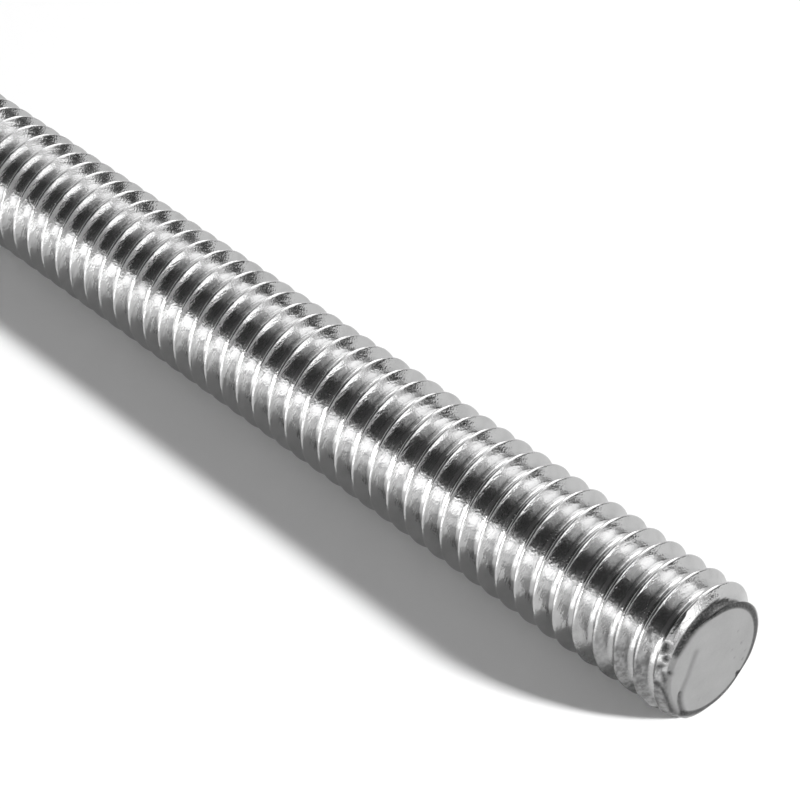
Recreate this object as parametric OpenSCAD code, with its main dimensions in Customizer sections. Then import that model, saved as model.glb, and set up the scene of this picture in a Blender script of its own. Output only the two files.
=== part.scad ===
// A cut length of fully threaded steel rod: right-hand thread with 60 degree flanks,
// a chamfer on both ends, and the marks the cutting left on the near end.
// The rod lies along X with its near end at +X, its axis on the origin and Z up.

/* [Rod] */
// Length from end face to end face
rod_length = 101.6; // [40:0.1:150]
// Diameter over the crests of the thread
crest_d = 7.85; // [7:0.01:12]

/* [Thread] */
// Distance from one crest to the next
pitch = 1.411; // [1.1:0.001:1.7]
// Angle between the two flanks of a groove
flank_angle = 60; // [55:1:65]
// Width of the flat on a crest, as a share of the pitch
crest_share = 0.125; // [0.06:0.005:0.2]
// Width of the flat at the bottom of a groove, as a share of the pitch
root_share = 0.1875; // [0.1:0.0025:0.3]
// How far the last crest stays behind the near end, along the top of the rod
crest_setback = 0.95; // [0:0.01:1.4]

/* [Ends] */
// Diameter of the flat face on each end
face_d = 6.6; // [5.6:0.05:6.9]
// Slope of the end chamfer, from the face
chamfer_angle = 45; // [30:1:60]

/* [Marks on the near end] */
// Side of the sheared facet, in degrees from the top towards +Y
facet_side = -69; // [-180:1:180]
// Distance from the axis to the facet's inner edge
facet_inset = 1.9; // [1:0.05:3]
// Slope of the facet, from the face
facet_slope = 8; // [2:0.5:20]
// Side of the flattened stretch of rim, in degrees from the top towards +Y
flat_side = 160; // [-180:1:180]
// Distance from the axis to the flattened stretch of rim
flat_inset = 3.14; // [2.9:0.01:3.25]
// Slope of the flattened stretch of rim, from the face
flat_slope = 45; // [35:1:60]

/* [Hidden] */
// Most facets that one rod may have
facet_limit = 11900;
// Play between the crests and the straight part of the blank, which stays uncut
blank_play = 0.3;

crest_r = crest_d / 2;
crest_flat = crest_share * pitch;
root_flat = root_share * pitch;
// Length along the rod of one flank, and the depth that follows from its slope
flank_run = (pitch - crest_flat - root_flat) / 2;
thread_depth = flank_run / tan(flank_angle / 2);
root_r = crest_r - thread_depth;
// Where the thread starts, two turns before the last crest, and its turns from there past the far end
thread_start = crest_setback % pitch - 2 * pitch;
turns = (rod_length - thread_start) / pitch + 0.2;
// Steps in a turn: a multiple of four, so that the rod is as wide as it is high
steps = 4 * floor(min(36, facet_limit / (8 * turns)) / 4);

// One pitch of thread from the middle of a crest, as [radius, distance along the rod]
profile = [
    [crest_r, -crest_flat / 2],
    [crest_r, crest_flat / 2],
    [root_r, crest_flat / 2 + flank_run],
    [root_r, crest_flat / 2 + flank_run + root_flat],
];

// Solid thread that rises along Z from below the near end at Z = 0 to past the far end
module thread() {
    sides = len(profile);
    rows = ceil(turns * steps);

    function point(row, side) =
        let (turn = 360 * row / steps, radius = profile[side][0])
        [
            radius * cos(turn),
            radius * sin(turn),
            thread_start + pitch * row / steps + profile[side][1]
        ];
    // The point after a row's last one is the first point of the row one turn on
    function index(row, side) =
        side < sides ? row * sides + side : (row + steps) * sides + side - sides;

    points = [for (row = [0:rows + steps], side = [0:sides - 1]) point(row, side)];
    near_centre = len(points);
    far_centre = near_centre + 1;
    near_height = thread_start + pitch / 2;
    far_height = near_height + pitch * rows / steps;

    skin = [
        for (row = [0:rows - 1], side = [0:sides - 1], half = [0, 1])
        half == 0
            ? [index(row, side), index(row + 1, side), index(row, side + 1)]
            : [index(row, side + 1), index(row + 1, side), index(row + 1, side + 1)]
    ];
    near_fan = [for (row = [0:steps - 1]) [near_centre, index(row + 1, 0), index(row, 0)]];
    near_step = concat([near_centre], [for (side = [0:sides]) index(0, side)]);
    far_fan = [for (row = [rows:rows + steps - 1]) [far_centre, index(row, 0), index(row + 1, 0)]];
    far_step = concat([far_centre], [for (side = [sides:-1:0]) index(rows, side)]);

    polyhedron(
        concat(points, [[0, 0, near_height], [0, 0, far_height]]),
        concat(skin, near_fan, [near_step], far_fan, [far_step])
    );
}

// Turned blank along Z from the near end at Z = 0: two faces, two chamfers and a straight part
module blank() {
    blank_r = crest_r + blank_play;
    face_r = face_d / 2;
    chamfer = (blank_r - face_r) * tan(chamfer_angle);
    rotate_extrude()
        polygon([
            [0, 0],
            [face_r, 0],
            [blank_r, chamfer],
            [blank_r, rod_length - chamfer],
            [face_r, rod_length],
            [0, rod_length],
        ]);
}

// What a flat cut takes off the near end, from a chord of the face outwards
module end_cut(side, inset, slope) {
    reach = 2 * crest_d;
    rotate([0, 0, side])
        translate([inset, 0, 0])
            rotate([0, -slope, 0])
                translate([-reach / 2, -reach / 2, -reach])
                    cube(reach);
}

module threaded_rod() {
    color("silver")
        translate([rod_length / 2, 0, 0])
            rotate([0, -90, 0])
                intersection() {
                    difference() {
                        blank();
                        end_cut(facet_side, facet_inset, facet_slope);
                        end_cut(flat_side, flat_inset, flat_slope);
                    }
                    thread();
                }
}

threaded_rod();
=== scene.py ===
"""Looks of a cut length of zinc-plated threaded rod, lying on a pale studio floor.

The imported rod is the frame: its box gives the rod's length and its width over the crests. One turn of
thread is swept, repeated along the bar, and trimmed by a turned blank whose ends have a rounded chamfer
and the marks of the shear. Everything is in metres, with the rod along X and Z up.
"""

import logging
import math
from dataclasses import dataclass, field
from enum import Enum
from typing import Any

import bmesh
import bpy
from mathutils import Matrix, Vector, geometry, noise

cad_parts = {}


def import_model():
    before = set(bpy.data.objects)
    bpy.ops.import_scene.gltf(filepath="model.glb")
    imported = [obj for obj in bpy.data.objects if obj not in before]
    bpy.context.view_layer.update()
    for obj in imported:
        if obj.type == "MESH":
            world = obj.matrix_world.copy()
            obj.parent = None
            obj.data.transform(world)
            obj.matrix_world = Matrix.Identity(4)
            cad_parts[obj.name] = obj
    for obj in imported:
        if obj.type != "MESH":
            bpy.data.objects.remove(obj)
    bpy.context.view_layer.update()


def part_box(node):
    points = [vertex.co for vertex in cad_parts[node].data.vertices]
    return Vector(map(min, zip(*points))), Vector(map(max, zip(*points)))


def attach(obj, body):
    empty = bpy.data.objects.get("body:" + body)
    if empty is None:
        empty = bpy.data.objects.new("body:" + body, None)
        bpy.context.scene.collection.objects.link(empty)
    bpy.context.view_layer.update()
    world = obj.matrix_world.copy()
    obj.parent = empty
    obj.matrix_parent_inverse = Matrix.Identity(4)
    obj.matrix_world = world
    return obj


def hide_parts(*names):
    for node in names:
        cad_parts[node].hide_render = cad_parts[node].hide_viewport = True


LOG = logging.getLogger("threaded_rod")
MM = 0.001
WELD = 0.001 * MM
SLIVER = 0.0005 * MM
PLANE_TOLERANCE = 0.0001 * MM


class Node(str, Enum):
    """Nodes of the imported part."""

    ROD = "threaded_rod"


class Slot(str, Enum):
    """Material slots of the part's record."""

    ZINC = "zinc_plate"


class WearAndShade(str, Enum):
    """What the mesh tells the finish about wear and painted shade, from 0 to 1 at each point."""

    # Painted shade and grime on the end's scores, pits and rims.
    SHADE_AND_GRIME = "shade_and_grime"
    SCUFF = "scuff"


def smooth(value: float, low: float, high: float) -> float:
    """A smooth step.

    Args:
        value: Where the step is read.
        low: Where it leaves 0.
        high: Where it reaches 1.

    Returns:
        The eased value, from 0 to 1.
    """
    share = min(1.0, max(0.0, (value - low) / (high - low)))
    return share * share * (3.0 - 2.0 * share)


class Value:
    """A shader socket that takes part in Python expressions; each operation adds a Math node."""

    def __init__(self, graph: "ShaderGraph", socket: bpy.types.NodeSocket) -> None:
        """Keeps the graph the socket belongs to and the socket itself."""
        self.graph = graph
        self.socket = socket

    def _math(self, operation: str, first: Any, second: Any = None) -> "Value":
        """Adds a Math node.

        Args:
            operation: Blender's name of the operation.
            first: First operand, a number or a Value.
            second: Second operand, if the operation has one.

        Returns:
            The node's result.
        """
        inputs = {0: first} if second is None else {0: first, 1: second}
        return self.graph.add("ShaderNodeMath", {"operation": operation}, inputs)

    def __add__(self, other: Any) -> "Value":
        """self + other"""
        return self._math("ADD", self, other)

    __radd__ = __add__

    def __sub__(self, other: Any) -> "Value":
        """self - other"""
        return self._math("SUBTRACT", self, other)

    def __rsub__(self, other: Any) -> "Value":
        """other - self"""
        return self._math("SUBTRACT", other, self)

    def __mul__(self, other: Any) -> "Value":
        """self * other"""
        return self._math("MULTIPLY", self, other)

    __rmul__ = __mul__

    def root(self) -> "Value":
        """Square root."""
        return self._math("SQRT", self)

    def least(self, other: Any) -> "Value":
        """The smaller of the two."""
        return self._math("MINIMUM", self, other)

    def most(self, other: Any) -> "Value":
        """The larger of the two."""
        return self._math("MAXIMUM", self, other)

    def turn(self, other: "Value") -> "Value":
        """Angle in radians from the direction of other towards that of self."""
        return self._math("ARCTAN2", self, other)

    def ease(self, low: float, high: float) -> "Value":
        """A smooth step.

        Args:
            low: Where the step leaves 0.
            high: Where it reaches 1.

        Returns:
            The eased value, from 0 to 1.
        """
        settings = {"interpolation_type": "SMOOTHSTEP"}
        inputs = {"Value": self, "From Min": low, "From Max": high, "To Min": 0.0, "To Max": 1.0}
        return self.graph.add("ShaderNodeMapRange", settings, inputs, "Result")


class ShaderGraph:
    """The node tree of a material or a world, emptied, with one way to add nodes."""

    def __init__(self, tree: bpy.types.NodeTree) -> None:
        """Empties the tree and keeps it."""
        self.tree = tree
        tree.nodes.clear()

    def add(self, kind: str, settings: dict[str, Any], inputs: dict[Any, Any], output: Any = 0) -> Value:
        """Adds a node.

        Args:
            kind: Blender's type name of the node.
            settings: Attributes of the node, set before its sockets.
            inputs: Socket name or number to a number, a colour, a vector or a Value.
            output: Name or number of the socket to return.

        Returns:
            The output socket as a Value.
        """
        node = self.tree.nodes.new(kind)
        for name, setting in settings.items():
            setattr(node, name, setting)
        for name, given in inputs.items():
            socket = node.inputs[name]
            if isinstance(given, Value):
                self.tree.links.new(given.socket, socket)
            else:
                socket.default_value = given
        return Value(self, node.outputs[output]) if node.outputs else Value(self, node.inputs[0])

    def split(self, vector: Value) -> tuple[Value, Value, Value]:
        """Splits a vector into its three values."""
        node = self.tree.nodes.new("ShaderNodeSeparateXYZ")
        self.tree.links.new(vector.socket, node.inputs[0])
        return tuple(Value(self, socket) for socket in node.outputs)


@dataclass(frozen=True)
class ZincFinish:
    """Bright zinc plate on a rolled steel thread.

    Attributes:
        clean: Brightness of the plate.
        dull: Brightness where the plate has gone dull, down in the grooves.
        cut: Brightness of the sheared end faces.
        shade_and_dirt_tone: Brightness of the painted shade and grime on the rims, scores and pits.
        gloss: Roughness of the smoothest plate.
        haze: Roughness added where the plate is dull.
        cut_roughness: Roughness of the sheared end faces.
        scuff_roughness: Roughness added where the thread is scuffed.
        grain: Size of the plate's fine pits.
        crystal: Size of the plate's crystals.
        streak: Size across of the marks that the rolling left along the thread.
        tear: Size of the scuffs.
        blotch: Size of the dull blotches.
        streak_stretch: Width of a rolling mark as a share of its length along the thread.
        blotch_haze: How dull the blotches are, from 0 to 1.
        groove_haze: How dull the bottom of a groove is, from 0 to 1.
        scuff_shade: How much darker the scuffed turns are.
        tear_shade: How much darker still a scuff is.
        pit_roughness: Roughness added in the fine pits.
        face_depth: How far behind the end the cut face's look begins.
        face_fade: Width over which it begins.
        face_edge: Width over which it ends at the rim.
        cut_even: Share of the cut faces' brightness that is even.
        cut_blotches: Share of it that the blotches have.
        cut_pits: Share of it that the pits have.
        shade_and_dirt_even: Share of the painted shade and dirt that is even.
        shade_and_dirt_pits: Share of it that the pits have.
        relief: Height of the relief.
        relief_strength: How strongly the relief shows.
        crystal_height: Share of the relief that the crystals have.
        pit_height: Share that the pits have.
        streak_height: Share that the rolling marks have.
        tear_height: Share that the scuffs have.
    """

    clean: float = 0.47
    dull: float = 0.385
    cut: float = 0.385
    shade_and_dirt_tone: float = 0.05
    gloss: float = 0.12
    haze: float = 0.1
    cut_roughness: float = 0.42
    scuff_roughness: float = 0.3
    grain: float = 0.11 * MM
    crystal: float = 0.15 * MM
    streak: float = 0.12 * MM
    tear: float = 0.3 * MM
    blotch: float = 1.2 * MM
    streak_stretch: float = 0.06
    blotch_haze: float = 0.55
    groove_haze: float = 0.5
    scuff_shade: float = 0.42
    tear_shade: float = 0.28
    pit_roughness: float = 0.08
    face_depth: float = 0.5 * MM
    face_fade: float = 0.08 * MM
    face_edge: float = 0.2 * MM
    cut_even: float = 0.8
    cut_blotches: float = 0.26
    cut_pits: float = 0.14
    shade_and_dirt_even: float = 0.55
    shade_and_dirt_pits: float = 0.9
    relief: float = 0.02 * MM
    relief_strength: float = 0.42
    crystal_height: float = 0.5
    pit_height: float = 0.3
    streak_height: float = 1.8
    tear_height: float = 1.3

    def build(self, rod: "ThreadedRod") -> bpy.types.Material:
        """Makes the material.

        Args:
            rod: The rod, for its sizes.

        Returns:
            The material, on Object coordinates and the wear and painted shade that the mesh carries.
        """
        material = bpy.data.materials.new("zinc_plate")
        material.use_nodes = True
        graph = ShaderGraph(material.node_tree)
        place = graph.add("ShaderNodeTexCoord", {}, {}, "Object")
        shade_and_grime = graph.add("ShaderNodeAttribute", {"attribute_name": WearAndShade.SHADE_AND_GRIME.value}, {}, "Fac")
        scuff = graph.add("ShaderNodeAttribute", {"attribute_name": WearAndShade.SCUFF.value}, {}, "Fac")
        along, across, up = graph.split(place)
        radius = (across * across + up * up).root()
        height = radius.ease(rod.root_radius, rod.crest_radius)
        past = (along * along).root() - rod.length / 2.0
        flat = rod.face_radius - rod.rim_round * 0.3
        on_end = past.ease(-self.face_depth, self.face_fade - self.face_depth)
        end_face = on_end * (1.0 - radius.ease(flat, flat + self.face_edge))

        pits = self._noise(graph, place, 1.0 / self.grain, 3.0)
        blotches = self._noise(graph, place, 1.0 / self.blotch, 4.0)
        crystals = graph.add(
            "ShaderNodeTexVoronoi", {}, {"Vector": place, "Scale": 1.0 / self.crystal}, "Distance"
        )
        tears = self._noise(graph, place, 1.0 / self.tear, 3.0)
        lead = across.turn(up) * (rod.pitch / (2.0 * math.pi))
        drawn_out = {"X": along - lead, "Y": across * self.streak_stretch, "Z": up * self.streak_stretch}
        along_thread = graph.add("ShaderNodeCombineXYZ", {}, drawn_out, "Vector")
        streaks = self._noise(graph, along_thread, 1.0 / self.streak, 2.0)

        blotched = blotches.ease(0.42, 0.68) * self.blotch_haze
        dullness = (blotched + (1.0 - height).ease(0.55, 1.0) * self.groove_haze).least(1.0)
        plate = self.clean + dullness * (self.dull - self.clean)
        cut = self.cut * (self.cut_even + blotches * self.cut_blotches + pits * self.cut_pits)
        tone = plate + end_face * (cut - plate)
        scuffed = scuff * tears.ease(0.36, 0.64)
        tone = tone * (1.0 - scuff * self.scuff_shade - scuffed * self.tear_shade)
        # Painted shade and dirt: the mesh darkens the end's scores, pits and rims, partly for grime and
        # partly for the shade that falls in them.
        shade_and_dirt = (shade_and_grime * (self.shade_and_dirt_even + pits * self.shade_and_dirt_pits)).least(1.0)
        tone = tone + shade_and_dirt * (self.shade_and_dirt_tone - tone)
        # A Mix node's colours are its inputs 6 and 7 and its output 2.
        black_to_white = {"Factor": tone, 6: (0.0, 0.0, 0.0, 1.0), 7: (1.0, 1.0, 1.0, 1.0)}
        colour = graph.add("ShaderNodeMix", {"data_type": "RGBA"}, black_to_white, 2)
        shine = self.gloss + dullness * self.haze + pits.ease(0.5, 0.75) * self.pit_roughness
        shine = shine + scuff * self.scuff_roughness
        roughness = shine + end_face.most(shade_and_dirt) * (self.cut_roughness - shine)
        relief = crystals * self.crystal_height + pits.ease(0.25, 0.75) * self.pit_height
        relief = relief + streaks * self.streak_height + tears * scuff * self.tear_height
        bump = {"Strength": self.relief_strength, "Distance": self.relief, "Height": relief}
        normal = graph.add("ShaderNodeBump", {}, bump, "Normal")
        shader = graph.add(
            "ShaderNodeBsdfPrincipled",
            {},
            {"Base Color": colour, "Metallic": 1.0, "Roughness": roughness, "Normal": normal},
            "BSDF",
        )
        graph.add("ShaderNodeOutputMaterial", {}, {"Surface": shader})
        return material

    @staticmethod
    def _noise(graph: ShaderGraph, place: Value, scale: float, detail: float) -> Value:
        """A noise pattern.

        Args:
            graph: The material's nodes.
            place: Where the pattern is read.
            scale: Features in a metre.
            detail: Number of finer layers.

        Returns:
            The pattern, from 0 to 1.
        """
        inputs = {"Vector": place, "Scale": scale, "Detail": detail}
        return graph.add("ShaderNodeTexNoise", {}, inputs, "Fac")


@dataclass(frozen=True)
class EndCut:
    """A flat cut across the edge of the near end face.

    Attributes:
        side: Degrees from the top of the face towards +Y.
        inset: Distance from the axis to the cut's inner edge.
        slope: Degrees from the face.
    """

    side: float
    inset: float
    slope: float

    def plane(self, end: float) -> tuple[Vector, Vector]:
        """Gives the cut as a plane.

        Args:
            end: Place of the end face along the rod.

        Returns:
            A point of the plane and the normal that points out of the rod.
        """
        turn, tilt = math.radians(self.side), math.radians(self.slope)
        outwards = Vector((0.0, math.sin(turn), math.cos(turn)))
        point = Vector((end, 0.0, 0.0)) + self.inset * outwards
        normal = Vector((math.cos(tilt), 0.0, 0.0)) + math.sin(tilt) * outwards
        return point, normal


@dataclass(frozen=True)
class ShearCrescent:
    """The sloping crescent that the shear left at one side of the near end face.

    Attributes:
        across: Middle of the crescent's inner edge, along Y.
        up: The same along Z.
        radius: Radius of the inner edge.
        slope: Degrees that the crescent slopes back from the face.
        line_width: Half width of the fine groove along the inner edge.
        line_depth: Depth of that groove.
    """

    across: float
    up: float
    radius: float
    slope: float
    line_width: float
    line_depth: float

    def sink(self, y: float, z: float) -> float:
        """Tells how far the shear pressed a point of the face back.

        Args:
            y: The point's place across the face.
            z: The point's place up the face.

        Returns:
            Distance behind the face.
        """
        reach = math.hypot(y - self.across, z - self.up) - self.radius
        side = min(1.0, max(0.0, -y / self.radius * 2.0))
        groove = self.line_depth * math.exp(-((reach / self.line_width) ** 2))
        return side * (groove + max(0.0, reach) * math.tan(math.radians(self.slope)))


@dataclass(frozen=True)
class EndMark:
    """A score, a pit or a burr on the near end, as it lies when one looks along the rod; scores and pits
    carry painted shade as well as grime.

    Attributes:
        line: Places across (Y) and up (Z) that the mark runs through, in millimetres. One makes a pit.
        reach: How far from its line the mark reaches.
        depth: How deep it is pressed; below 0 it stands proud.
        shade_and_grime: How much painted shade and grime darken the mark, from 0 to 1.
    """

    line: tuple[tuple[float, float], ...]
    reach: float
    depth: float
    shade_and_grime: float

    def strength(self, y: float, z: float) -> float:
        """Tells how much of the mark a point has.

        Args:
            y: The point's place across.
            z: The point's place up.

        Returns:
            1 on the line, 0 from the mark's reach on.
        """
        point = Vector((y, z))
        places = [Vector(place) * MM for place in self.line]
        away = min((point - place).length for place in places)
        for start, stop in zip(places, places[1:]):
            foot, share = geometry.intersect_point_line(point, start, stop)
            if 0.0 < share < 1.0:
                away = min(away, (point - foot).length)
        return smooth(self.reach - away, 0.0, self.reach)


@dataclass(frozen=True)
class RimShade:
    """The dark ring that the shear left along the rim of an end face.

    Attributes:
        inner: Radius of the ring's inner edge.
        outer: Radius of its outer edge.
        fade: Width over which the ring starts and ends.
        plain: How dark the painted shade is on the crescent's side and at the far end.
        full: How dark it is on the other side of the near end.
        faint_side: Degrees from the top towards +Y of the middle of the crescent's side.
        faint_width: Degrees from that middle to where the ring is fully dark.
        faint_share: Share of that width over which the ring stays as it is on the crescent's side.
    """

    inner: float = 3.06 * MM
    outer: float = 3.44 * MM
    fade: float = 0.1 * MM
    plain: float = 0.3
    full: float = 0.95
    faint_side: float = -97.0
    faint_width: float = 42.0
    faint_share: float = 0.85

    def shade_and_grime(self, y: float, z: float, near: bool) -> float:
        """Tells how dark the painted shade of the ring is at a point of an end.

        Args:
            y: The point's place across.
            z: The point's place up.
            near: Whether it is the near end.

        Returns:
            Darkness, from 0 to 1.
        """
        radius = math.hypot(y, z)
        inside = smooth(radius, self.inner - self.fade, self.inner)
        ring = inside * smooth(-radius, -self.outer, self.fade - self.outer)
        turn = abs((math.degrees(math.atan2(y, z)) - self.faint_side + 180.0) % 360.0 - 180.0)
        clear = smooth(turn, self.faint_width * self.faint_share, self.faint_width) if near else 0.0
        return ring * (self.plain + clear * (self.full - self.plain))


@dataclass(frozen=True)
class RubbedPatch:
    """Where the last turns of the thread are rubbed down and scuffed.

    Attributes:
        whole: Distance behind the near end up to which the patch is at its full strength.
        behind: Distance at which it has faded out.
        side: Degrees from the top towards +Y of the patch's middle.
        half_width: Degrees from its middle to its edge.
        soft_share: Share of that width over which the patch fades out.
        depth: How much of the crests is rubbed off.
        untouched: Share of the thread's height below which nothing is rubbed off.
        unevenness: How much the rubbing varies from place to place.
        patch_size: Size of those places.
        tearing: How much rougher the rolled surface is where it is rubbed.
    """

    whole: float = 2.0 * MM
    behind: float = 9.0 * MM
    side: float = -104.0
    half_width: float = 52.0
    soft_share: float = 0.6
    depth: float = 0.2 * MM
    untouched: float = 0.2
    unevenness: float = 0.5
    patch_size: float = 0.9 * MM
    tearing: float = 3.0

    def strength(self, behind: float, side: float) -> float:
        """Tells how rubbed a point of the thread is.

        Args:
            behind: The point's distance behind the near end.
            side: Degrees from the top towards +Y.

        Returns:
            0 for none to 1 for fully rubbed.
        """
        turn = abs((side - self.side + 180.0) % 360.0 - 180.0)
        round_it = smooth(self.half_width - turn, 0.0, self.half_width * self.soft_share)
        return round_it * smooth(self.behind - behind, 0.0, self.behind - self.whole)


@dataclass
class ThreadedRod:
    """The rod: one solid bar with a rolled thread, chamfered ends and the marks of the shear.

    Attributes:
        length: From end face to end face.
        crest_radius: Radius over the crests.
        pitch: Distance from one crest to the next.
        crest_share: Width that a crest would have if it were flat, as a share of the pitch.
        root_share: Width that the groove has at the root's depth, as a share of the pitch.
        flank_slope: Degrees from a flank to a plane across the rod.
        flank_hold: How close to its ends a flank keeps straight, as a share of the flank.
        crest_setback: How far the last crest stays behind the near end, along the top.
        face_radius: Radius of the flat end face, to the middle of its rounded rim.
        rim_round: Radius of the rounding between the end face and the chamfer.
        chamfer_slope: Degrees from the end face to the chamfer.
        play: Room between the crests and the straight part of the blank.
        turn_steps: Steps in one turn of the thread.
        fine_turns: Turns at the near end whose flanks are split finer.
        fine_cuts: Cuts across each of those flanks.
        blank_steps: Steps in one turn of the blank.
        rim_steps: Rings of faces on a rounded rim.
        face_rings: Rings of faces on the near end face.
        crescent: What the shear left on the near end face.
        near_cuts: Flat cuts on the near end.
        chamfer_rings: Rings of faces on the near chamfer.
        marks: Scores, pits and burrs on the near end.
        mark_depth: How far behind an end its marks can lie.
        rim: The rings of painted shade along the rims.
        rim_depth: How far behind an end its ring of painted shade can lie.
        rubbed: The scuffed patch on the last turns.
        roll_waver: How far the rolled surface wavers.
        waver_size: Distance from one waver to the next.
        sharp_edge: Degrees between two faces from which their edge is left sharp.
        depth: Depth of the thread, worked out from its flats and flanks.
        root_radius: Radius at the bottom of the grooves, worked out from that depth.
    """

    length: float
    crest_radius: float
    pitch: float = 1.411 * MM
    crest_share: float = 0.085
    root_share: float = 0.2275
    flank_slope: float = 30.0
    flank_hold: float = 0.06
    crest_setback: float = 0.95 * MM
    face_radius: float = 3.4 * MM
    rim_round: float = 0.9 * MM
    chamfer_slope: float = 45.0
    play: float = 0.3 * MM
    turn_steps: int = 72
    fine_turns: float = 2.5
    fine_cuts: int = 6
    blank_steps: int = 180
    rim_steps: int = 8
    face_rings: int = 40
    crescent: ShearCrescent = ShearCrescent(
        across=0.83 * MM,
        up=-1.05 * MM,
        radius=3.18 * MM,
        slope=9.0,
        line_width=0.1 * MM,
        line_depth=0.02 * MM,
    )
    near_cuts: tuple[EndCut, ...] = (
        EndCut(side=136.0, inset=3.17 * MM, slope=45.0),
        EndCut(side=176.0, inset=3.27 * MM, slope=45.0),
        EndCut(side=-143.0, inset=3.45 * MM, slope=70.0),
    )
    chamfer_rings: int = 14
    marks: tuple[EndMark, ...] = (
        EndMark(
            ((-0.75, 3.1), (-1.3, 2.87), (-1.75, 2.54), (-2.15, 2.2), (-2.55, 1.8)),
            0.33 * MM,
            0.06 * MM,
            1.0,
        ),
        EndMark(((-3.72, 0.27), (-3.38, -0.15), (-3.1, -0.92), (-2.75, -1.84)), 0.2 * MM, 0.1 * MM, 0.9),
        EndMark(((-2.32, -0.9), (-2.34, -1.36), (-2.2, -1.91), (-2.01, -2.42)), 0.3 * MM, 0.1 * MM, 0.8),
        EndMark(
            ((-1.4, 1.35), (-1.67, 0.77), (-1.9, 0.09), (-2.15, -0.44), (-2.32, -0.9)),
            0.34 * MM,
            0.03 * MM,
            0.32,
        ),
        EndMark(((-2.95, -1.3), (-2.7, -1.9), (-2.45, -2.3)), 0.32 * MM, 0.04 * MM, 0.6),
        EndMark(((-3.1, -2.2), (-2.4, -2.7), (-1.5, -3.25), (-0.6, -3.45)), 0.24 * MM, 0.0, 0.75),
        EndMark(((-2.87, 2.32), (-3.0, 2.15)), 0.32 * MM, 0.16 * MM, 1.0),
        EndMark(((-3.04, 1.76), (-3.14, 1.7)), 0.24 * MM, 0.13 * MM, 1.0),
        EndMark(((-3.2, 1.5),), 0.13 * MM, -0.05 * MM, 0.0),
        EndMark(((-3.39, 1.28), (-3.5, 1.2)), 0.25 * MM, 0.14 * MM, 1.0),
        EndMark(((-3.35, 0.85),), 0.14 * MM, -0.05 * MM, 0.0),
        EndMark(((-3.05, 0.87), (-3.0, 0.75)), 0.26 * MM, 0.13 * MM, 0.95),
        EndMark(((-3.4, 0.95), (-3.3, 0.45)), 0.18 * MM, 0.08 * MM, 0.8),
        EndMark(((2.02, -2.2),), 0.25 * MM, 0.12 * MM, 0.7),
        EndMark(((1.43, -2.93),), 0.22 * MM, 0.1 * MM, 0.9),
        EndMark(((1.11, -3.08),), 0.2 * MM, 0.08 * MM, 0.8),
        EndMark(((-0.85, -2.25),), 0.13 * MM, -0.06 * MM, 0.0),
        EndMark(((1.72, 0.9),), 0.12 * MM, 0.03 * MM, 0.3),
        EndMark(((2.09, -0.13),), 0.13 * MM, 0.03 * MM, 0.35),
        EndMark(((1.4, -0.18),), 0.11 * MM, 0.02 * MM, 0.25),
        EndMark(((1.65, -0.89),), 0.12 * MM, 0.03 * MM, 0.3),
        EndMark(((2.31, -1.39),), 0.14 * MM, 0.04 * MM, 0.4),
        EndMark(((2.44, -0.9),), 0.11 * MM, 0.03 * MM, 0.3),
    )
    mark_depth: float = 1.2 * MM
    rim: RimShade = RimShade()
    rim_depth: float = 0.6 * MM
    rubbed: RubbedPatch = RubbedPatch()
    roll_waver: float = 0.003 * MM
    waver_size: float = 0.55 * MM
    sharp_edge: float = 40.0
    depth: float = field(init=False)
    root_radius: float = field(init=False)

    def __post_init__(self) -> None:
        """Works out the thread's depth from its flats and the slope of its flanks."""
        flank = self.pitch * (1.0 - self.crest_share - self.root_share) / 2.0
        self.depth = flank / math.tan(math.radians(self.flank_slope))
        self.root_radius = self.crest_radius - self.depth

    def build(self, finish: ZincFinish) -> bpy.types.Object:
        """Builds, trims and dresses the rod.

        Args:
            finish: The rod's finish.

        Returns:
            The rod's object.
        """
        rod = self._as_object("rod", self._thread())
        blank = self._as_object("blank", self._blank())
        self._trim(rod, blank)
        self._wear(rod)
        self._shade(rod)
        rod.data.materials.append(finish.build(self))
        return rod

    def _profile(self) -> list[tuple[float, float]]:
        """One pitch of thread, from the middle of a crest to the middle of the next.

        Returns:
            Pairs of distance along the rod and radius.
        """
        slope = math.radians(self.flank_slope)
        lean = math.pi / 2.0 - slope
        crest_round = self.crest_share * self.pitch / 2.0 * math.cos(slope) / (1.0 - math.sin(slope))
        root_round = self.root_share * self.pitch / 2.0 / math.tan(slope)
        middle = self.pitch / 2.0
        crest = [
            (crest_round * math.sin(turn), self.crest_radius - crest_round * (1.0 - math.cos(turn)))
            for turn in (0.0, lean / 3.0, lean * 2.0 / 3.0, lean)
        ]
        root = [
            (middle - root_round * math.sin(turn), self.root_radius + root_round * (1.0 - math.cos(turn)))
            for turn in (lean, lean / 2.0, 0.0)
        ]
        flank = [
            tuple(high + (low - high) * share for high, low in zip(crest[-1], root[0]))
            for share in (self.flank_hold, 1.0 - self.flank_hold)
        ]
        half = crest + flank + root
        return half + [(self.pitch - along, radius) for along, radius in reversed(half[:-1])]

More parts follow.
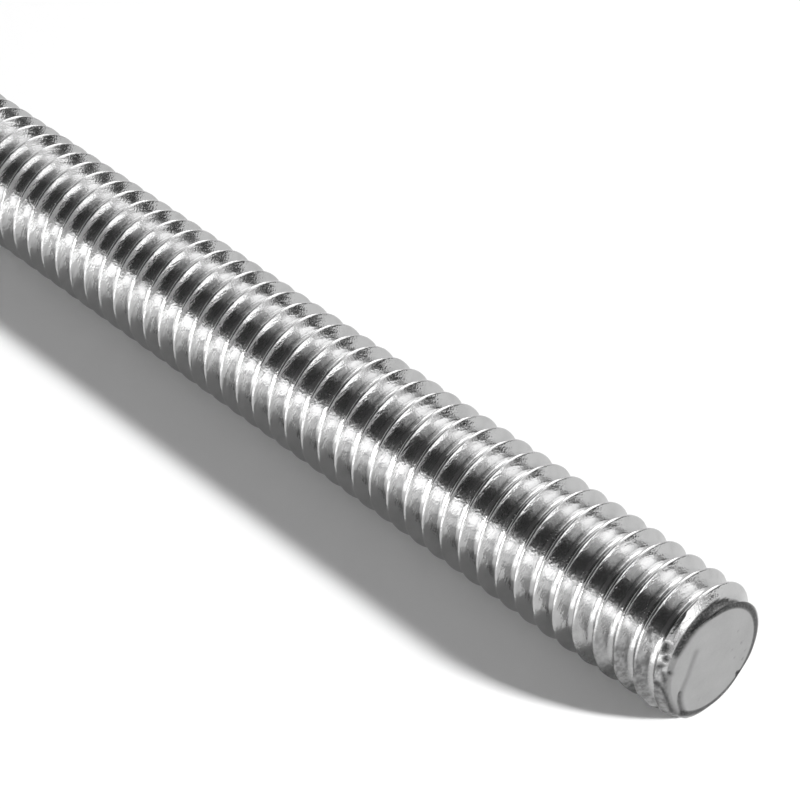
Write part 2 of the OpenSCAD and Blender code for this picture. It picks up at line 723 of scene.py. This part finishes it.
    def _thread(self) -> bmesh.types.BMesh:
        """Sweeps one turn of thread and repeats it past both ends.

        Returns:
            A closed bar of thread, half a pitch longer than the rod at each end.
        """
        bm = bmesh.new()
        spare = math.ceil(self.length / self.pitch) + 3
        start = self.length / 2.0 - self.crest_setback - (spare - 1) * self.pitch
        line = [bm.verts.new((start + along, 0.0, radius)) for along, radius in self._profile()]
        edges = [bm.edges.new(pair) for pair in zip(line, line[1:])]
        bmesh.ops.spin(
            bm,
            geom=line + edges,
            cent=(0.0, 0.0, 0.0),
            axis=(1.0, 0.0, 0.0),
            dvec=(self.pitch / self.turn_steps, 0.0, 0.0),
            angle=2.0 * math.pi,
            steps=self.turn_steps,
        )
        turn = bm.verts[:] + bm.edges[:] + bm.faces[:]
        for count in range(1, spare):
            copy = bmesh.ops.duplicate(bm, geom=turn)["geom"]
            moved = [part for part in copy if isinstance(part, bmesh.types.BMVert)]
            bmesh.ops.translate(bm, verts=moved, vec=(count * self.pitch, 0.0, 0.0))
        bmesh.ops.remove_doubles(bm, verts=bm.verts, dist=WELD)
        self._split_last_flanks(bm)
        for way in (-1.0, 1.0):
            outwards = Vector((way, 0.0, 0.0))
            self._slice(bm, outwards * (self.length + self.pitch) / 2.0, outwards)
        bmesh.ops.recalc_face_normals(bm, faces=bm.faces)
        return bm

    def _split_last_flanks(self, bm: bmesh.types.BMesh) -> None:
        """Splits the flanks of the last turns into fine strips, so that the wear on them has sharp edges.

        Args:
            bm: The thread.
        """
        start = self.length / 2.0 - self.fine_turns * self.pitch
        shortest = self.pitch * 0.3
        flanks = [
            edge
            for edge in bm.edges
            if min(vert.co.x for vert in edge.verts) > start and edge.calc_length() > shortest
        ]
        bmesh.ops.subdivide_edges(bm, edges=flanks, cuts=self.fine_cuts)

    def _blank(self) -> bmesh.types.BMesh:
        """Turns the blank that trims the thread: two faces, rounded rims, chamfers and a straight part.

        Returns:
            The blank, with the shear's marks and cuts made at the near end.
        """
        bm = bmesh.new()
        end = self.length / 2.0
        slope = math.radians(self.chamfer_slope)
        outside = self.crest_radius + self.play
        tangent = self.rim_round * math.tan(slope / 2.0)
        flat = self.face_radius - tangent
        half = []
        for step in range(self.rim_steps + 1):
            angle = step / self.rim_steps * slope
            back = self.rim_round * (1.0 - math.cos(angle))
            half.append((end - back, flat + self.rim_round * math.sin(angle)))
        brow = half[-1]
        edge = (end - (outside - self.face_radius) * math.tan(slope), outside)
        near_chamfer = [
            tuple(start + (stop - start) * ring / self.chamfer_rings for start, stop in zip(brow, edge))
            for ring in range(1, self.chamfer_rings)
        ]
        near_face = [(end, flat * ring / self.face_rings) for ring in range(self.face_rings)]
        far_side = [(-along, radius) for along, radius in [edge] + half[::-2]]
        outline = near_face + half + near_chamfer + [edge] + far_side + [(-end, 0.0)]
        line = [bm.verts.new((along, 0.0, radius)) for along, radius in outline]
        edges = [bm.edges.new(pair) for pair in zip(line, line[1:])]
        bmesh.ops.spin(
            bm,
            geom=line + edges,
            cent=(0.0, 0.0, 0.0),
            axis=(1.0, 0.0, 0.0),
            angle=2.0 * math.pi,
            steps=self.blank_steps,
            use_merge=True,
        )
        bmesh.ops.remove_doubles(bm, verts=bm.verts, dist=WELD)
        bmesh.ops.recalc_face_normals(bm, faces=bm.faces)
        for vert in bm.verts:
            if vert.co.x > 0.0:
                place = vert.co.y, vert.co.z
                vert.co.x -= self.crescent.sink(*place)
                vert.co.x -= sum(mark.depth * mark.strength(*place) for mark in self.marks)
        for cut in self.near_cuts:
            self._slice(bm, *cut.plane(end))
        return bm

    @staticmethod
    def _slice(bm: bmesh.types.BMesh, point: Vector, normal: Vector) -> None:
        """Cuts a closed mesh with a plane and caps the cut.

        Args:
            bm: The mesh.
            point: A point of the plane.
            normal: The plane's normal, towards the side that goes.
        """
        cut = bmesh.ops.bisect_plane(
            bm,
            geom=bm.verts[:] + bm.edges[:] + bm.faces[:],
            dist=PLANE_TOLERANCE,
            plane_co=point,
            plane_no=normal,
            clear_outer=True,
        )["geom_cut"]
        border = [part for part in cut if isinstance(part, bmesh.types.BMEdge)]
        bmesh.ops.contextual_create(bm, geom=border)

    @staticmethod
    def _as_object(name: str, bm: bmesh.types.BMesh) -> bpy.types.Object:
        """Moves a bmesh into a new object at the origin.

        Args:
            name: The object's name.
            bm: The mesh, which is freed.

        Returns:
            The object.
        """
        mesh = bpy.data.meshes.new(name)
        bm.to_mesh(mesh)
        bm.free()
        thing = bpy.data.objects.new(name, mesh)
        bpy.context.scene.collection.objects.link(thing)
        return thing

    @staticmethod
    def _trim(rod: bpy.types.Object, blank: bpy.types.Object) -> None:
        """Keeps only what of the rod lies inside the blank, clears slivers and removes the blank.

        Args:
            rod: The bar of thread.
            blank: The turned blank.
        """
        trim = rod.modifiers.new("trim", "BOOLEAN")
        trim.operation = "INTERSECT"
        trim.solver = "EXACT"
        trim.object = blank
        shaped = rod.evaluated_get(bpy.context.evaluated_depsgraph_get())
        mesh = bpy.data.meshes.new_from_object(shaped)
        rod.modifiers.clear()
        rod.data = mesh
        bpy.data.objects.remove(blank)
        bm = bmesh.new()
        bm.from_mesh(mesh)
        bmesh.ops.remove_doubles(bm, verts=bm.verts, dist=SLIVER)
        bmesh.ops.dissolve_degenerate(bm, edges=bm.edges, dist=SLIVER)
        bm.to_mesh(mesh)
        bm.free()

    def _wear(self, rod: bpy.types.Object) -> None:
        """Makes the rolled surface waver, rubs the last turns down and notes the wear and the painted shade
        for the finish.

        Args:
            rod: The trimmed rod.
        """
        mesh = rod.data
        end = self.length / 2.0
        shade_and_grime = []
        scuff = []
        for vert in mesh.vertices:
            x, y, z = vert.co
            behind = end - abs(x)
            near = x > 0.0
            side = math.degrees(math.atan2(y, z))
            radius = math.hypot(y, z)
            rubbed = self.rubbed.strength(end - x, side) * smooth(radius, self.rim.inner, self.rim.outer)
            # The rims and the end's scores and pits get painted shade, with grime in the scores and pits.
            dark = self.rim.shade_and_grime(y, z, near) if behind < self.rim_depth else 0.0
            if near and behind < self.mark_depth:
                dark = max([dark] + [mark.shade_and_grime * mark.strength(y, z) for mark in self.marks])
            shade_and_grime.append(dark)
            scuff.append(rubbed)
            # The flat of an end face keeps its form.
            if radius < self.face_radius * 0.5 or behind < 0.01 * MM:
                continue
            waver = noise.noise(vert.co / self.waver_size) * self.roll_waver
            height = (radius - self.root_radius) / self.depth
            loss = rubbed * self.rubbed.depth * smooth(height, self.rubbed.untouched, 1.0)
            loss *= 1.0 + self.rubbed.unevenness * noise.noise(vert.co / self.rubbed.patch_size)
            worn = radius - loss + waver * (1.0 + self.rubbed.tearing * rubbed)
            vert.co = (x, y * worn / radius, z * worn / radius)
        for name, values in ((WearAndShade.SHADE_AND_GRIME, shade_and_grime), (WearAndShade.SCUFF, scuff)):
            mesh.attributes.new(name.value, "FLOAT", "POINT").data.foreach_set("value", values)

    def _shade(self, rod: bpy.types.Object) -> None:
        """Shades the rod smoothly, apart from its real edges.

        Args:
            rod: The finished mesh's object.
        """
        mesh = rod.data
        mesh.shade_smooth()
        mesh.set_sharp_from_angle(angle=math.radians(self.sharp_edge))


@dataclass(frozen=True)
class Lamp:
    """A soft box that looks at the rod.

    Attributes:
        name: Name of the lamp.
        azimuth: Degrees from +X towards +Y, seen from above.
        height: Degrees above the floor.
        distance: Distance from the aim.
        width: Side of the box across.
        depth: Side of the box upwards.
        glow: Brightness of the box, where white paper in full light is 1.
        lights_floor: Whether the box lights the floor and throws the shadow. The metal mirrors only others.
    """

    name: str
    azimuth: float
    height: float
    distance: float
    width: float
    depth: float
    glow: float
    lights_floor: bool = False

    def build(self, aim: Vector) -> bpy.types.Object:
        """Sets the lamp up.

        Args:
            aim: What the lamp looks at.

        Returns:
            The lamp's object.
        """
        light = bpy.data.lights.new(self.name, "AREA")
        light.shape = "RECTANGLE"
        light.size = self.width
        light.size_y = self.depth
        light.energy = self.glow * math.pi * self.width * self.depth
        lamp = bpy.data.objects.new(self.name, light)
        turn, rise = math.radians(self.azimuth), math.radians(self.height)
        level = math.cos(rise)
        way = Vector((math.cos(turn) * level, math.sin(turn) * level, math.sin(rise)))
        lamp.location = aim + way * self.distance
        lamp.rotation_mode = "QUATERNION"
        lamp.rotation_quaternion = way.to_track_quat("Z", "Y")
        lamp.visible_diffuse = self.lights_floor
        lamp.visible_glossy = not self.lights_floor
        lamp.visible_camera = False
        bpy.context.scene.collection.objects.link(lamp)
        return lamp


@dataclass(frozen=True)
class GreyCloth:
    """A grey cloth hung as part of a dome round the rod, which only the metal's reflections show.

    Attributes:
        name: Name of the cloth.
        turn: First and last degrees from +X towards +Y.
        rise: Lowest and highest degrees above the floor.
        grey: Brightness of the cloth.
        away: Distance from the rod.
        step: Degrees from one row of its points to the next.
    """

    name: str
    turn: tuple[float, float]
    rise: tuple[float, float]
    grey: float
    away: float = 1.6
    step: float = 5.0

    def build(self) -> bpy.types.Object:
        """Hangs the cloth.

        Returns:
            The cloth's object.
        """
        bm = bmesh.new()
        low, high = (math.radians(degrees) for degrees in self.rise)
        first, last = (math.radians(degrees) for degrees in self.turn)
        rows = max(1, round(math.degrees(high - low) / self.step))
        line = []
        for row in range(rows + 1):
            rise = low + (high - low) * row / rows
            level = math.cos(rise)
            way = Vector((level * math.cos(first), level * math.sin(first), math.sin(rise)))
            line.append(bm.verts.new(way * self.away))
        edges = [bm.edges.new(pair) for pair in zip(line, line[1:])]
        bmesh.ops.spin(
            bm,
            geom=line + edges,
            cent=(0.0, 0.0, 0.0),
            axis=(0.0, 0.0, 1.0),
            angle=last - first,
            steps=max(1, round(math.degrees(last - first) / self.step)),
        )
        mesh = bpy.data.meshes.new(self.name)
        bm.to_mesh(mesh)
        bm.free()
        cloth = bpy.data.objects.new(self.name, mesh)
        bpy.context.scene.collection.objects.link(cloth)
        material = bpy.data.materials.new(self.name)
        material.use_nodes = True
        graph = ShaderGraph(material.node_tree)
        colour = (self.grey, self.grey, self.grey, 1.0)
        shader = graph.add("ShaderNodeBsdfDiffuse", {}, {"Color": colour}, "BSDF")
        graph.add("ShaderNodeOutputMaterial", {}, {"Surface": shader})
        mesh.materials.append(material)
        cloth.visible_camera = False
        cloth.visible_diffuse = False
        cloth.visible_shadow = False
        return cloth


@dataclass
class Studio:
    """Pale floor, soft boxes, world and camera.

    Attributes:
        near_end: Middle of the rod's near end face.
        rod_radius: Radius over the crests.
        image: Width and height of the picture.
        focal_px: Focal length in pixels of that picture.
        near_end_px: Where the picture shows the middle of the near end face.
        near_end_depth: Distance of that point along the view, in rod radii.
        azimuth: Degrees that the camera has gone round the rod from a look along +Y.
        elevation: Degrees that the camera looks down.
        lamps: The soft boxes.
        aim_share: What the lamps look at, as a share of the way from the rod's middle to its near end.
        floor_side: Side of the floor.
        floor_colour: Colour of the floor.
        room_level: Light that the room around throws on the floor.
        cloths: The grey cloths round the table.
    """

    near_end: Vector
    rod_radius: float
    image: tuple[int, int] = (800, 809)
    focal_px: float = 2829.7
    near_end_px: tuple[float, float] = (713.67, 659.80)
    near_end_depth: float = 36.469
    azimuth: float = 47.66
    elevation: float = 38.06
    lamps: tuple[Lamp, ...] = (
        Lamp("key", 19.0, 26.0, distance=2.0, width=0.2, depth=0.2, glow=590.0, lights_floor=True),
        Lamp("back", 108.0, 42.0, distance=1.0, width=0.54, depth=0.58, glow=3.6),
        Lamp("top", 153.0, 61.0, distance=1.0, width=0.64, depth=0.34, glow=0.8),
        Lamp("right", 60.0, 31.0, distance=1.0, width=0.73, depth=0.54, glow=1.1),
        Lamp("glint", 18.0, 13.0, distance=1.0, width=0.36, depth=0.36, glow=2.0),
        Lamp("left", 267.0, 14.0, distance=1.0, width=1.12, depth=0.42, glow=5.0),
        Lamp("low", 270.0, -14.5, distance=0.018, width=0.13, depth=0.009, glow=1.9),
    )
    aim_share: float = 0.4
    floor_side: float = 3.0
    floor_colour: tuple[float, float, float, float] = (0.93, 0.93, 0.93, 1.0)
    room_level: float = 0.3
    cloths: tuple[GreyCloth, ...] = (
        GreyCloth("front_cloth", turn=(180.0, 365.0), rise=(27.0, 85.0), grey=0.08),
        GreyCloth("top_cloth", turn=(5.0, 175.0), rise=(68.0, 89.0), grey=0.35),
        GreyCloth("side_cloth", turn=(40.0, 74.0), rise=(0.0, 13.0), grey=0.05),
        GreyCloth("corner_cloth", turn=(5.0, 36.0), rise=(42.0, 63.0), grey=0.25),
        GreyCloth("end_cloth", turn=(-20.0, 8.0), rise=(0.0, 27.0), grey=0.5),
    )

    def build(self) -> None:
        """Builds the floor, the lamps, the world and the camera."""
        self._floor()
        for cloth in self.cloths:
            cloth.build()
        for lamp in self.lamps:
            lamp.build(Vector((self.near_end.x * self.aim_share, 0.0, 0.0)))
        self._world()
        self._camera()
        bpy.context.scene.view_settings.view_transform = "Standard"

    def _floor(self) -> None:
        """Lays the floor under the rod's crests."""
        bm = bmesh.new()
        bmesh.ops.create_grid(bm, x_segments=1, y_segments=1, size=self.floor_side / 2.0)
        bmesh.ops.translate(bm, verts=bm.verts, vec=(0.0, 0.0, -self.rod_radius))
        mesh = bpy.data.meshes.new("floor")
        bm.to_mesh(mesh)
        bm.free()
        floor = bpy.data.objects.new("floor", mesh)
        bpy.context.scene.collection.objects.link(floor)
        material = bpy.data.materials.new("white_table")
        material.use_nodes = True
        graph = ShaderGraph(material.node_tree)
        shader = graph.add("ShaderNodeBsdfDiffuse", {}, {"Color": self.floor_colour}, "BSDF")
        graph.add("ShaderNodeOutputMaterial", {}, {"Surface": shader})
        mesh.materials.append(material)

    def _world(self) -> None:
        """A dim room that the camera and the metal see as white beyond the floor."""
        world = bpy.data.worlds.new("room")
        world.use_nodes = True
        bpy.context.scene.world = world
        graph = ShaderGraph(world.node_tree)
        seen = graph.add("ShaderNodeLightPath", {}, {}, "Is Camera Ray")
        mirrored = graph.add("ShaderNodeLightPath", {}, {}, "Is Glossy Ray")
        passed = graph.add("ShaderNodeLightPath", {}, {}, "Is Transmission Ray")
        strength = self.room_level + seen.most(mirrored).most(passed) * (1.0 - self.room_level)
        white = (1.0, 1.0, 1.0, 1.0)
        sky = graph.add("ShaderNodeBackground", {}, {"Color": white, "Strength": strength})
        graph.add("ShaderNodeOutputWorld", {}, {"Surface": sky})

    def _camera(self) -> None:
        """Sets the camera where the picture was taken from."""
        width, height = self.image
        data = bpy.data.cameras.new("camera")
        data.sensor_width = 36.0
        data.lens = self.focal_px / max(width, height) * data.sensor_width
        data.clip_start = 0.001
        camera = bpy.data.objects.new("camera", data)
        turn = Matrix.Rotation(math.radians(self.azimuth), 4, "Z")
        tilt = Matrix.Rotation(math.radians(90.0 - self.elevation), 4, "X")
        away = self.near_end_depth * self.rod_radius
        column, row = self.near_end_px
        seen_at = Vector(
            (
                (column - width / 2.0) / self.focal_px * away,
                -(row - height / 2.0) / self.focal_px * away,
                -away,
            )
        )
        aimed = turn @ tilt
        camera.matrix_world = Matrix.Translation(self.near_end - aimed @ seen_at) @ aimed
        bpy.context.scene.collection.objects.link(camera)
        bpy.context.scene.camera = camera


def main() -> None:
    """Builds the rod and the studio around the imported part."""
    logging.basicConfig(level=logging.INFO, format="%(name)s: %(message)s")
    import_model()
    low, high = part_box(Node.ROD.value)
    rod = ThreadedRod(length=high.x - low.x, crest_radius=(high.z - low.z) / 2.0)
    piece = rod.build(ZincFinish())
    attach(piece, "root")
    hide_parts(Node.ROD.value)
    LOG.info("rod: %d vertices, %d faces", len(piece.data.vertices), len(piece.data.polygons))
    Studio(near_end=Vector((high.x, 0.0, 0.0)), rod_radius=rod.crest_radius).build()


if __name__ == "__main__":
    main()
